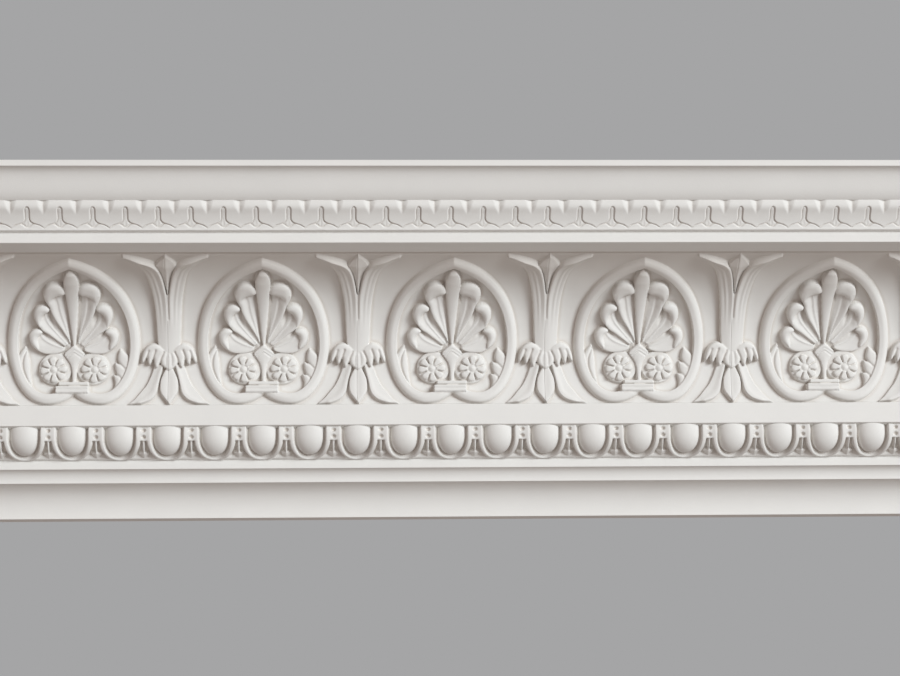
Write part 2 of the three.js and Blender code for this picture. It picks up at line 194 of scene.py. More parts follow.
def levels(section):
    """The section's levels, each as far beyond the one before it as its sizes say: first those out
    from the wall, then those up from the foot."""
    outwards = {
        "ovolo_back": section.lip + section.lower_cavetto + section.upper_cavetto,
        "bead_face": section.ovolo_projection + section.bead_projection,
        "cove_back": -section.ledge,
        "cove_front": section.cove_radius,
        "corona_face": section.soffit,
        "ogee_back": section.quirk,
        "cyma_back": section.ogee_projection,
        "crown_face": section.cyma_projection + section.crown_step,
    }
    upwards = {
        "ovolo_foot": section.lower_cavetto + section.upper_cavetto + section.strip,
        "ovolo_top": section.ovolo_height,
        "bead_top": section.bead_height,
        "cove_base": section.cove_foot,
        "soffit": section.cove_radius,
        "ogee_foot": section.corona,
        "cyma_foot": section.ogee_height,
        "crown_foot": section.cyma_height,
        "ceiling": section.crown,
    }
    at = SimpleNamespace()
    for steps in (outwards, upwards):
        vars(at).update(zip(steps, accumulate(steps.values())))
    return at


def placed(x, p, z, section):
    """Points in the row frame: y is minus p, and z is taken down by half the wall strip."""
    x, p, z = np.broadcast_arrays(x, p, z)
    return np.stack([x, -p, z - section.wall_strip / 2], axis=-1)


# Curves and distances on the drawing


def smooth_line(points, steps=6, closed=False):
    """A Catmull-Rom line through the points: each span is the cubic whose end tangents are half
    the chord between the two neighbours of that end."""
    points = np.asarray(points, float)
    if closed:
        ring = np.concatenate([points[-1:], points, points[:2]])
    else:
        ring = np.concatenate([2 * points[:1] - points[1:2], points, 2 * points[-1:] - points[-2:-1]])
    a, b, c, d = ring[:-3, None], ring[1:-2, None], ring[2:-1, None], ring[3:, None]
    t = (np.arange(steps) / steps)[None, :, None]
    line = 0.5 * (2 * b + (c - a) * t + (2 * a - 5 * b + 4 * c - d) * t**2 + (3 * b - a - 3 * c + d) * t**3)
    line = line.reshape(-1, 2)
    return line if closed else np.concatenate([line, points[-1:]])


def distance_to(u, v, line):
    """Distance from each point to the nearest of a line's straight spans."""
    best = np.full(u.shape, np.inf)
    for a, b in zip(line[:-1], line[1:]):
        span = b - a
        share = ((u - a[0]) * span[0] + (v - a[1]) * span[1]) / max(float(span @ span), 1e-12)
        share = np.clip(share, 0, 1)
        best = np.minimum(best, np.hypot(u - a[0] - share * span[0], v - a[1] - share * span[1]))
    return best


def depth_inside(u, v, outline):
    """Distance in from a closed outline, negative outside: a point is inside where a level line
    from it crosses the outline an odd number of times."""
    loop = np.concatenate([outline, outline[:1]])
    inside = np.zeros(u.shape, bool)
    for a, b in zip(loop[:-1], loop[1:]):
        if a[1] == b[1]:
            continue
        between = (a[1] > v) != (b[1] > v)
        inside ^= between & (u < a[0] + (b[0] - a[0]) * (v - a[1]) / (b[1] - a[1]))
    return np.where(inside, 1, -1) * distance_to(u, v, loop)


def ease(x):
    """0 below 0, 1 above 1, and three x squared less two x cubed between."""
    x = np.clip(x, 0, 1)
    return x * x * (3 - 2 * x)


def bulge(depth, reach):
    """A quarter circle that rises from 0 at the edge to 1 at the given reach."""
    t = 1 - np.clip(depth / reach, 0, 1)
    return np.sqrt(1 - t * t)


def bell(x, width):
    """A bell curve, 1 in the middle: e to the power of minus the square of x over the width."""
    return np.exp(-((x / width) ** 2))


def wall(depth, width=1.0):
    """Nearly upright side of a carved form, as wide as given in squares."""
    return ease((depth + 0.3 * width) / width)


def raise_to(height, level):
    """Raises the ground wherever a form stands higher."""
    height[:] = np.maximum(height, level)


def raise_form(height, u, v, outline, shape):
    """Raises the ground to a form inside a closed outline; shape gives the form's height from the
    points and their depth inside the outline."""
    low, high = outline.min(axis=0) - 1.5, outline.max(axis=0) + 1.5
    patch = (u > low[0]) & (u < high[0]) & (v > low[1]) & (v < high[1])
    if not patch.any():
        return
    pu, pv = u[patch], v[patch]
    depth = depth_inside(pu, pv, outline)
    height[patch] = np.maximum(height[patch], shape(pu, pv, depth) * wall(depth))


def raise_even(height, side, v, levels_up, halves, shape):
    """Raises a form that is alike on both sides of a middle line, from its half widths at the given
    levels; shape gives its height from the share of the way out to its edge."""
    half = np.interp(v, levels_up, halves)
    share = np.clip(side / np.maximum(half, 1e-6), 0, 1)
    raise_to(height, np.where(half > 0.05, shape(share) * wall(half - side), 0))


def cut_line(height, u, v, line, width, depth):
    """Cuts a rounded furrow along a smooth line: its depth falls off as a bell curve across it."""
    line = smooth_line(line)
    low, high = line.min(axis=0) - 3 * width, line.max(axis=0) + 3 * width
    patch = (u > low[0]) & (u < high[0]) & (v > low[1]) & (v < high[1])
    height[patch] -= depth * bell(distance_to(u[patch], v[patch], line), width)


def between_edges(u, v, inner, outer):
    """Share of the way across a leaf: 0 on its inner edge line, 1 on its outer one."""
    near, far = distance_to(u, v, inner), distance_to(u, v, outer)
    return near / np.maximum(near + far, 1e-9)


# The frieze: all heights below are in leaf reliefs, and u, v in squares

LANCE_LEVELS = (60, 62, 80, 100, 118, 128, 134, 139, 144, 148, 151, 153.5)
LANCE_HALVES = (0, 1.8, 3.5, 5.3, 6.9, 7.7, 7.9, 7.4, 6, 4.2, 2.4, 0)
SHIELD_LEVELS = (22, 36, 42, 47, 51.5, 54, 62.5)
SHIELD_HALVES = (2.2, 2.8, 4.2, 7.2, 10.4, 9.6, 0)
BUD_LEVELS = (112, 121, 132, 141, 149, 154, 159, 163, 168, 174)
BUD_HALVES = (0, 1.2, 2.6, 4.2, 6.2, 8.2, 10.4, 8.4, 4.8, 0)
OVAL_LEVELS = (-1, 0, 5, 10, 14.5, 20, 26, 31, 36, 42)
OVAL_HALVES = (0, 0.8, 4.2, 7.6, 9.2, 9.4, 8.6, 6.6, 4.2, 2.2)


def ring_relief(height, u, v):
    """The pointed ring: a two-centred arch above, a half ellipse below, as a strap with an
    upright foot, a wide outer bevel and a sharp inner edge."""
    side = np.abs(u)
    arch_centre, springing, outer_arch, inner_arch = -50.0, 63.0, 115.5, 105.0
    foot_centre, spread = 26.0, 8.0
    outer_foot, inner_foot = (39.5, 63.0), (29.0, 52.0)

    def outline(arch, foot):
        turn = np.linspace(math.acos((-4 - arch_centre) / arch), 0, 24)
        upper = np.stack([arch_centre + arch * np.cos(turn), springing + arch * np.sin(turn)], axis=1)
        turn = np.linspace(0, math.pi, 40)
        reach = np.where(turn > math.pi / 2, foot[0] + spread, foot[0])
        lower = np.stack([foot_centre + reach * np.cos(turn), springing - foot[1] * np.sin(turn)], axis=1)
        lower = lower[lower[:, 0] > -4]
        return np.concatenate([upper, lower[1:]])

    outer, inner = outline(outer_arch, outer_foot), outline(inner_arch, inner_foot)
    band = np.concatenate([outer, inner[::-1]])
    depth = depth_inside(side, v, band)
    across = between_edges(side, v, outer, inner)
    bevel = 0.7 + 0.3 * ease(across / 0.5)
    face = bevel - 0.05 * ease((across - 0.55) / 0.45)
    raise_to(height, face * wall(depth, 1.1) * (0.8 + 0.2 * ease(across / 0.2)))


def hooked_leaf(height, u, v, inner, outer, hook, rim, scoop, split):
    """A blade in two scooped channels, a narrow inner one up to the share split of its width and a
    wide outer one, each rising away from the middle leaf; it ends in a domed hook."""
    inner, outer = smooth_line(inner), smooth_line(outer)
    blade = np.concatenate([inner, outer[::-1]])
    start, end = rim

    def blade_height(pu, pv, depth):
        across = between_edges(pu, pv, inner, outer)
        along = np.clip((pv - inner[0, 1]) / (inner[-1, 1] - inner[0, 1]), 0, 1)
        low = start * 0.8 * (1 - along) + scoop * along
        high = start + (end - start) * along
        narrow = low - 0.08 + 0.24 * np.clip(across / split, 0, 1)
        wide = low + 0.06 + (high - low) * ease((across - split) / (0.86 - split))
        rounding = 1 - 0.2 * (1 - bulge(distance_to(pu, pv, outer), 2.6))
        return (narrow + (wide - narrow) * ease((across - split) / 0.07)) * rounding

    raise_form(height, u, v, blade, blade_height)
    hook = smooth_line(hook, closed=True)
    raise_form(height, u, v, hook, lambda pu, pv, depth: 0.6 + 0.5 * bulge(depth, 6.5))


def palmette_relief(height, u, v):
    """The palmette: a lance leaf, three hooked leaves on each side and the shield at their root."""
    side = np.abs(u)
    hooked_leaf(
        height, side, v,
        inner=[(3.2, 64), (5.2, 80), (7.2, 97), (8.2, 110), (8.4, 121)],
        outer=[(4.2, 62), (7, 69), (12, 78), (18, 88), (22, 98), (23.5, 105), (27, 112), (28.2, 119)],
        hook=[
            (22.3, 102), (25.8, 108.5), (28.2, 115), (28, 121.5), (25.5, 127.5), (21, 131.2), (16, 132.2),
            (11, 131), (7.4, 127.4), (5.8, 123), (6.4, 119.6), (9, 117.6), (12.5, 116.8), (16.5, 115),
            (19.6, 111.6), (21.3, 106.6),
        ],
        rim=(0.62, 0.98), scoop=0.46, split=0.36,
    )
    hooked_leaf(
        height, side, v,
        inner=[(5, 62.5), (12, 71), (19.5, 81.5), (23.2, 89), (24.2, 97)],
        outer=[(9.5, 60), (17, 66), (25, 72.5), (31, 76.7), (34, 81), (37.4, 87), (39.2, 95)],
        hook=[
            (33.2, 80), (37.4, 86), (39.2, 92), (38.6, 98.4), (35.5, 103.6), (30.5, 106), (26, 105.2),
            (23, 102.6), (22.6, 99.8), (24, 97.6), (27.2, 95.8), (30, 92.4), (31.3, 87.6), (31.6, 83),
        ],
        rim=(0.6, 0.94), scoop=0.3, split=0.26,
    )
    hooked_leaf(
        height, side, v,
        inner=[(9, 59.3), (18, 64), (26, 70), (31, 75.5)],
        outer=[(10, 55.5), (14, 53.5), (22, 52.3), (30, 52.8), (38, 57), (43, 63), (44.6, 71)],
        hook=[
            (37, 57), (42.4, 62.5), (44.6, 69.5), (43.4, 75), (39.8, 78.6), (35.5, 79.4), (31.8, 77.6),
            (30.6, 75), (32.4, 73), (34.8, 70.4), (35.6, 66.6), (34.6, 62.5), (34.6, 58),
        ],
        rim=(0.6, 0.9), scoop=0.32, split=0.24,
    )
    web = smooth_line([
        (0, 58), (9, 55.5), (22, 56), (33, 60), (32.5, 72), (30, 76), (26, 84), (24.5, 94), (21, 98),
        (19, 104), (12, 112), (6, 118), (0, 118),
    ], closed=True)
    raise_form(height, side, v, web, lambda pu, pv, depth: 0.1 + 0.3 * ease(depth / 9))
    crown = np.interp(v, [60, 80, 120, 134, 146, 153.5], [0.62, 0.8, 1.05, 1.14, 1.0, 0.5])
    raise_even(height, side, v, LANCE_LEVELS, LANCE_HALVES,
               lambda share: crown * (0.68 + 0.32 * np.sqrt(1 - share**2)))
    within = (v > SHIELD_LEVELS[0]) & (v < SHIELD_LEVELS[-1])
    depth = np.interp(v, SHIELD_LEVELS, SHIELD_HALVES) - side
    raise_to(height, (0.62 + 0.26 * bulge(depth, 9)) * wall(depth) * within)
    for line in ([(0, 57), (8.2, 51.4)], [(0, 54), (6.6, 49.2)]):
        cut_line(height, side, v, line, 0.7, 0.12)


def rosette_relief(height, u, v):
    """Two rosettes of eight petals and a button, each on a larger low dome that stands nearer to the
    middle and reaches up to the shield."""
    petals = 8
    disc, petal_reach, button = 16.6, 14.0, 2.7
    disc_centre, centre = (18.6, 37.2), (20.3, 36.0)
    for hand in (-1, 1):
        across, up = u - hand * centre[0], v - centre[1]
        radius = np.hypot(across, up)
        lobe = np.abs(np.cos(petals / 2 * np.arctan2(up, across) + 0.35 * hand))
        rim = disc - np.hypot(u - hand * disc_centre[0], v - disc_centre[1])
        base = (0.4 + 0.16 * bulge(rim, disc)) * wall(rim)
        reach = petal_reach * (0.8 + 0.2 * lobe**0.6)
        notch = 1 - 0.46 * (1 - ease(lobe / 0.55)) * ease((radius - 3.5) / 4)
        petal = (0.62 + 0.34 * bulge(reach - radius, 4)) * notch
        petal = petal - 0.14 * (1 - ease(np.abs(radius - 3.8) / 1.4))
        flower = np.where(radius < reach + 1, petal * wall(reach - radius), 0)
        knob = np.where(radius < button, 0.72 + 0.34 * bulge(button - radius, button), 0)
        for form in (base, flower, knob):
            raise_to(height, form)


def block_relief(height, u, v):
    """The stepped block under the palmette."""
    steps = ((-18.6, 14.6, 10.6, 18.9, 1.15), (-15.8, 14.8, 18.9, 23.6, 0.98))
    for left, right, foot, top, rise in steps:
        edge = np.minimum(np.minimum(u - left, right - u), np.minimum(v - foot, top - v))
        raise_to(height, rise * wall(edge, 0.9) * (0.9 + 0.1 * bulge(edge, 1.6)))
    for level in (19.0, 14.8):
        cut_line(height, u, v, [(-18, level), (14.4, level)], 0.6, 0.12)


def corner_relief(height, u, v):
    """Half leaves inside the foot of the ring: a plain one on the left, a lobed one on the right."""
    plain = smooth_line([
        (-48, 61), (-53, 55), (-56, 48), (-56.3, 40), (-53.5, 32), (-48.5, 24), (-41.5, 17), (-42.2, 24),
        (-43.2, 31), (-44, 42), (-45, 50), (-46, 56),
    ], closed=True)
    raise_form(height, u, v, plain, lambda pu, pv, depth: 0.34 + 0.3 * bulge(depth, 5))
    crease = [(-47.4, 57), (-50.6, 48), (-50.8, 38), (-47, 27), (-42.6, 19.5)]
    cut_line(height, u, v, crease, 1.0, 0.22)
    lobed = smooth_line([
        (45.4, 57.5), (50.4, 54), (54.2, 49.5), (55.2, 42), (54, 35), (51.4, 29.5), (46.5, 20), (42, 15),
        (36.5, 11), (39, 17), (40, 22), (39.4, 26), (38.4, 31), (41.6, 31), (41, 35), (40.2, 38.5),
        (40.4, 43.4), (43.8, 42.8), (42.8, 47), (43.2, 52),
    ], closed=True)
    raise_form(height, u, v, lobed, lambda pu, pv, depth: 0.3 + 0.34 * bulge(depth, 5))
    for cut in ([(42.6, 43.2), (46, 41), (49.4, 37.6)], [(40.6, 31.4), (44, 29.4), (47.2, 26)]):
        cut_line(height, u, v, cut, 1.1, 0.15)


def calyx_relief(height, u, v):
    """The calyx between two rings: fluted flaring stems, a ridged bud, a drooping collar and
    three lower leaves."""
    side = np.abs(u)
    sinking = 1 - 0.55 * ease((v - 156) / 18)
    raise_even(height, side, v, BUD_LEVELS, BUD_HALVES, lambda share: (0.9 - 0.34 * share) * sinking)
    inner = smooth_line([
        (0.2, 44), (0.2, 75), (0.2, 100), (0.5, 114), (1.3, 122), (3.8, 139), (5.8, 148), (8.4, 155.5),
        (13.8, 162.5), (21.6, 167.5), (31, 171.5), (41, 174),
    ])
    outer = smooth_line([
        (9.5, 44), (11.5, 66), (12.6, 88), (13.8, 106), (16.6, 126), (20.4, 143), (25, 154), (32, 161),
        (38.5, 166.5), (42.6, 171.5),
    ])
    stem = np.concatenate([[(-3, 44), (-3, 114)], inner[inner[:, 1] > 119], outer[::-1]])

    def stem_height(pu, pv, depth):
        across = between_edges(pu, pv, inner, outer)
        flutes = bell(across - 0.4, 0.08) + bell(across - 0.68, 0.08)
        arris = bell(across - 0.12, 0.1)
        fluted = 0.86 - 0.3 * (across - 0.25) ** 2 / 0.5625 + 0.1 * arris - 0.07 * flutes
        plain = 0.9 - 0.3 * np.clip(pu / 13, 0, 1) ** 2
        body = plain + (fluted - plain) * ease((pv - 72) / 40)
        return body * (1 - 0.5 * ease((pu - 22) / 20))

    raise_form(height, side, v, stem, stem_height)
    cut_line(height, side, v, [(0, 90), (0, 118)], 0.9, 0.1)

    channel = 0.08 * bell(side, 3.2)
    under_collar = v < 46
    raise_even(height, side, v, OVAL_LEVELS, OVAL_HALVES,
               lambda share: (0.6 + 0.16 * np.sqrt(1 - share**2) - channel) * under_collar)
    low = smooth_line([(5, 42), (7, 34.5), (9, 27), (10.2, 21.5), (12, 13), (15.4, 7), (20.4, 3), (28, 0)])
    high = smooth_line([
        (14.5, 42), (16.8, 34.5), (19.6, 27), (23.4, 19.5), (28.5, 13), (34.5, 5.5), (41, 0),
    ])
    leaf = np.concatenate([low, high[::-1]])

    def leaf_height(pu, pv, depth):
        across = between_edges(pu, pv, low, high)
        return 0.62 - 0.24 * across + 0.08 * bell(across - 0.25, 0.2)

    raise_form(height, side, v, leaf, leaf_height)

    collar = smooth_line([
        (-8, 54.5), (0, 54.5), (4, 57), (8, 60.5), (13.5, 63.2), (19, 62.2), (23.5, 58.5), (26, 53),
        (27.4, 47.5), (27, 43), (24.6, 44.4), (22.4, 47.6), (21.2, 43.6), (19.8, 40.8), (17.6, 43),
        (16, 46), (14.8, 41.4), (13, 37.6), (10.8, 39.4), (9, 42.4), (7.6, 40.4), (4.4, 37.6), (0, 34.6),
        (-8, 34.6),
    ], steps=4, closed=True)
    raise_form(height, side, v, collar, lambda pu, pv, depth: 0.64 + 0.38 * bulge(depth, 5))
    creases = (
        ([(22.4, 47.6), (21.6, 52), (20.4, 55.5)], 0.2),
        ([(16, 46), (15.2, 51), (13.6, 56)], 0.22),
        ([(9, 42.4), (8, 48), (5.4, 54)], 0.22),
        ([(2.6, 40), (2.8, 46), (2, 52)], 0.1),
    )
    for line, depth in creases:
        cut_line(height, side, v, line, 1.1, depth)


def frieze_relief(u, v, carving):
    """Height of the frieze over its ground, in metres: the highest of all its forms, less a fine line
    under the soffit."""
    u = u - FRIEZE_SHIFT
    rings, leaves = np.zeros_like(u), np.zeros_like(u)
    ring_relief(rings, u, v)
    for relief in (palmette_relief, rosette_relief, block_relief, corner_relief):
        relief(leaves, u, v)
    for hand in (-1, 1):
        calyx_relief(leaves, u + hand * SQUARES_ACROSS / 2, v)
    cove_line = carving.cove_line * bell(v - COVE_LINE_AT, COVE_LINE_HALF)
    return np.maximum(rings * carving.ring_relief, leaves * carving.leaf_relief) - cove_line


# The two narrow courses


def from_nearest(u, pitch):
    """How far each point stands from the nearest of a row of forms of the given pitch."""
    return np.abs((u + pitch / 2) % pitch - pitch / 2)


def egg_relief(u, angle, recess, swell):
    """Height of the egg and dart over the shells, in metres: u squares from the crown of an egg,
    angle degrees down the quarter round. Eggs and shells are half ellipses."""
    pitch = SQUARES_ACROSS / EGGS_PER_REPEAT
    side = from_nearest(u, pitch)
    tab_foot = 34.0
    # Each oval has its half width, the angle where it starts and the angle that it drops from there.
    egg_oval, groove_oval = (13.4, 24, 55.5), (15.5, 24, 58)
    rim_oval, shell_oval = (17.6, 24.5, 61.5), (20.8, 25, 65.5)

    def out_from(width, start, drop):
        return np.hypot(side / width, np.clip(angle - start, 0, None) / drop)

    egg = np.clip(1 - out_from(*egg_oval) ** 2, 0, None)
    groove_wall = ease((out_from(*groove_oval) - 1) * 15 / 1.2 + 0.3)
    shell_wall = ease((1 - out_from(*shell_oval)) * 20 / 1.2 + 0.3)
    tab = ease((tab_foot - angle) / 2.5)
    outer = np.maximum(shell_wall, tab)
    rim = 0.14 * recess * bell((out_from(*rim_oval) - 1) * 17, 2.2)
    shell = -recess + (recess + rim) * groove_wall * outer
    from_dart = pitch / 2 - side
    dart_half = np.interp(angle, [34, 38, 62, 66, 70, 79, 88.5], [1.7, 1.4, 1.3, 4.6, 5.6, 3.4, 0])
    ridge = np.clip(1 - from_dart / np.maximum(dart_half, 1e-6), 0, 1)
    dart = recess * (0.5 + 0.4 * ridge) * ease((dart_half - from_dart) / 0.9 + 0.3) * (angle > 33)
    lift = recess * ease((angle - 70) / 15)
    course = shell + np.maximum(dart, lift) * (1 - outer)
    for level in (8.0, 23.5):
        away = np.hypot(from_dart, (angle - level) * 0.49)
        course -= 0.55 * recess * bulge(2.3 - away, 2.3) * (away < 2.3)
    course = np.maximum(course, -recess + (recess + swell) * np.sqrt(egg) * (egg > 0))
    base = ease((angle - 88) / 2)
    return course * (1 - base)


def leaf_relief(u, line, depth):
    """Height of the leaf band over the ogee, in metres: u squares from a slot, line squares up
    the drawing. A keyhole slot with a raised tongue flares out at its foot, the leaf tops roll over,
    and a shallow flute parts each from the next."""
    half = SQUARES_ACROSS / LEAVES_PER_REPEAT / 2
    side = from_nearest(u, 2 * half)
    flare = [(2.7, 30), (2.6, 24), (3.0, 21), (5, 18.8), (8.5, 17.4), (12, 16.2), (half + 0.3, 13.4)]
    foot = [(half + 0.3, 12.4), (12.6, 14.8), (9, 16.2), (6.2, 16.6), (4, 15.6), (2, 14), (-1, 13.2)]
    top = [(-1, 35.2), (0.6, 35.1), (1.9, 34.2), (2.6, 32.4)]
    slot = np.concatenate([top, smooth_line(flare), smooth_line(foot)])
    sunk = depth_inside(side, line, slot)
    tongue = 0.6 * bulge(sunk - 0.9, 1.4) * (sunk > 0.9)
    height = -depth * ease((sunk + 0.3) / 0.9) * (1 - tongue)
    roll = 0.65 * depth * bell(line - 34.5, 4.6)
    flute_half = np.interp(line, [26, 34, 41.6], [0, 4.2, 6.4])
    from_edge = half - side
    flute = np.clip(1 - from_edge / np.maximum(flute_half, 1e-6), 0, 1)
    return height + roll - 1.35 * depth * flute**1.3 * ease((line - 26) / 10)


# Surfaces


def waver(x, girth, amount):
    """Slow unevenness of hand work: a sum of five waves of about 15 to 60 mm, added in x and girth."""
    # The lengths in metres that hold the cycles below, across and up, and the phase
    waves = (
        (0.061, 0.017, 0.3),
        (-0.034, 0.043, 1.9),
        (0.023, -0.071, 4.1),
        (0.019, 0.029, 2.2),
        (0.083, 0.052, 5.2),
    )
    cycles_across, cycles_up = 0.9, 0.6
    total = np.zeros(np.broadcast(x, girth).shape)
    for across, up, phase in waves:
        total += np.sin(2 * math.pi * (x / across * cycles_across + girth / up * cycles_up) + phase)
    return amount * total / len(waves)


def looked_up(table, row, column):
    """Values of a table between its entries, straight between the four nearest."""
    i = np.clip(row.astype(int), 0, table.shape[0] - 2)
    j = np.clip(column.astype(int), 0, table.shape[1] - 2)
    s, t = row - i, column - j
    near = table[i, j] * (1 - t) + table[i, j + 1] * t
    far = table[i + 1, j] * (1 - t) + table[i + 1, j + 1] * t
    return near * (1 - s) + far * s


def drawn_to_walls(height, spacing, pull, rounds=70):
    """Rows and columns of surface points drawn to steep places: neighbours are held by springs that
    are stiffer there, and each round moves every point to the mean of its four by stiffness."""
    rise, run = np.gradient(height, spacing)
    slope = np.hypot(rise, run)
    for axis in (0, 1):
        slope = (np.roll(slope, 1, axis) + 2 * slope + np.roll(slope, -1, axis)) / 4
    stiffness = 1 + pull * np.clip(slope / 1.5, 0, 1)
    row, column = (grid.astype(float) for grid in np.indices(height.shape))
    for _ in range(rounds):
        local = looked_up(stiffness, row, column)
        sideways = (local[1:-1, 1:] + local[1:-1, :-1]) / 2
        upwards = (local[1:, 1:-1] + local[:-1, 1:-1]) / 2
        left, right, below, above = sideways[:, :-1], sideways[:, 1:], upwards[:-1], upwards[1:]
        total = left + right + below + above
        for grid in (row, column):
            pulled = left * grid[1:-1, :-2] + right * grid[1:-1, 2:]
            pulled += below * grid[:-2, 1:-1] + above * grid[2:, 1:-1]
            grid[1:-1, 1:-1] = pulled / total
    return row, column


def painted_shade_share(height, spacing, reach):
    """How far a point lies below its neighbourhood, from 0 to 1, as its share of painted shade: a mean
    over a square of the given reach, taken with running sums and mirrored past the border, less the height
    itself."""
    steps = max(int(round(reach / spacing)), 1)
    width = 2 * steps + 1
    mean = height
    for _ in (0, 1):
        sums = np.cumsum(np.pad(mean, ((steps + 1, steps), (0, 0)), mode="symmetric"), axis=0)
        mean = ((sums[width:] - sums[:-width]) / width).T
    return np.clip((mean - height) / (0.45 * reach), 0, 1)


def finish_piece(name, points, faces, smooth, bare, hollow):
    """Makes the mesh, marks its smooth and its bare faces and its hollow points, which get painted shade,
    and gives the piece to the frame."""
    mesh = bpy.data.meshes.new(name)
    mesh.from_pydata(points, [], [face for group in faces for face in group.tolist()])
    mesh.polygons.foreach_set("use_smooth", smooth)
    for material in ("painted_plaster", "bare_plaster"):
        mesh.materials.append(bpy.data.materials[material])
    mesh.polygons.foreach_set("material_index", bare.astype(np.int32))
    mark = mesh.attributes.new("hollow", "FLOAT", "POINT")
    mark.data.foreach_set("value", hollow.astype(np.float32))
    if mesh.validate():
        raise RuntimeError(f"{name} has bad faces")
    piece = bpy.data.objects.new(name, mesh)
    bpy.context.scene.collection.objects.link(piece)
    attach(piece, BODY)
    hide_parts(NODE)
    return piece


def quads(a, b, c, d):
    """Four-cornered faces from four tables of points."""
    return np.stack([a.ravel(), b.ravel(), c.ravel(), d.ravel()], axis=1)


def carved_slab(name, x, on_curve, height, bed, hollow, section):
    """A closed slab. Its front is a grid with rows up the section and columns along the run; its bed
    has the same rows at the two ends of the run only, and the first and last rows close as flat
    strips. on_curve gives p and z of the columns asked for, at a height over the ground."""
    ends = [0, -1]
    rows, columns = x.shape
    front = placed(x, *on_curve(height, slice(None)), section)
    behind = placed(x[:, ends], *on_curve(-bed, ends), section)
    points = np.concatenate([front.reshape(-1, 3), behind.reshape(-1, 3)])
    grid = np.arange(rows * columns).reshape(rows, columns)
    back = rows * columns + np.arange(rows * 2).reshape(rows, 2)
    skin = quads(grid[:-1, :-1], grid[:-1, 1:], grid[1:, 1:], grid[1:, :-1])
    faces = [
        skin,
        quads(back[:-1, 0], grid[:-1, 0], grid[1:, 0], back[1:, 0]),
        quads(grid[:-1, -1], back[:-1, 1], back[1:, 1], grid[1:, -1]),
        quads(back[:-1, 1], back[:-1, 0], back[1:, 0], back[1:, 1]),
        np.concatenate([back[0], grid[0, ::-1]])[None],
        np.concatenate([grid[-1], back[-1, ::-1]])[None],
    ]
    carved = np.arange(sum(len(group) for group in faces)) < len(skin)
    marks = np.concatenate([hollow.ravel(), np.zeros(rows * 2)])
    return finish_piece(name, points, faces, carved, ~carved, marks)


def setting_out(context):
    """The sizes of the section and of the carving, the section's levels, and the width of a repeat."""
    section, carving = context.scene.cornice_section, context.scene.cornice_carving
    return section, carving, levels(section), (HIGH.x - LOW.x) / section.repeats


def carve(relief_at, across, up, size, spacing, pull, reach):
    """Carves a drawing that runs between the given ends across and up, on a surface of the given size.
    Its points stand about the spacing apart and are drawn to the steep places. Each comes back with
    its place across and up, its relief, and how far it lies in a hollow of the given reach (its share of
    painted shade)."""
    columns, rows = (int(round(length / spacing)) + 1 for length in size)
    across, up = np.meshgrid(np.linspace(*across, columns), np.linspace(*up, rows))
    relief = relief_at(across, up)
    hollow = painted_shade_share(relief, spacing, reach)
    row, column = drawn_to_walls(relief, spacing, pull)
    across, up, hollow = (looked_up(table, row, column) for table in (across, up, hollow))
    return across, up, relief_at(across, up), hollow


def slanted(degrees_up, length):
    """A step of the given length, so many degrees up from level."""
    turn = math.radians(degrees_up)
    return length * np.array([math.cos(turn), math.sin(turn)])


def ogee_curve(at, share):
    """Points and outward normals of the ogee under the leaf band: a cubic Bezier curve whose two
    handles stand 78 degrees up."""
    lean = slanted(78, 8 * MM)
    start = np.array([at.ogee_back, at.ogee_foot])
    end = np.array([at.cyma_back, at.cyma_foot])
    return bezier(start, start + lean, end - lean, end, share)


def bezier(a, b, c, d, share):
    """Points and right-hand normals of a cubic Bezier curve at the shares given."""
    t = np.asarray(share, float)[:, None]
    points = a * (1 - t) ** 3 + 3 * b * t * (1 - t) ** 2 + 3 * c * t**2 * (1 - t) + d * t**3
    tangent = (b - a) * (1 - t) ** 2 + 2 * (c - b) * t * (1 - t) + (d - c) * t**2
    tangent /= np.linalg.norm(tangent, axis=1)[:, None]
    return points, np.stack([tangent[:, 1], -tangent[:, 0]], axis=1)


def arc(centre, radius, start, end, steps):
    """Points of an arc between two angles in degrees; an ellipse's has a pair of radii."""
    turn = np.radians(np.linspace(start, end, steps + 1))
    return np.array(centre) + np.array(radius) * np.stack([np.cos(turn), np.sin(turn)], axis=1)


def softened(outline, corners, radius):
    """The outline with the given corners cut off in two short flats, as the soft arrises of a cast."""
    result = []
    for i, point in enumerate(outline):
        if i not in corners:
            result.append(point[None])
            continue
        before, after = outline[i - 1] - point, outline[(i + 1) % len(outline)] - point
        a = point + radius * before / np.linalg.norm(before)
        b = point + radius * after / np.linalg.norm(after)
        middle = 0.25 * a + 0.5 * point + 0.25 * b
        result.append(np.stack([a, middle, b]))
    return np.concatenate(result)


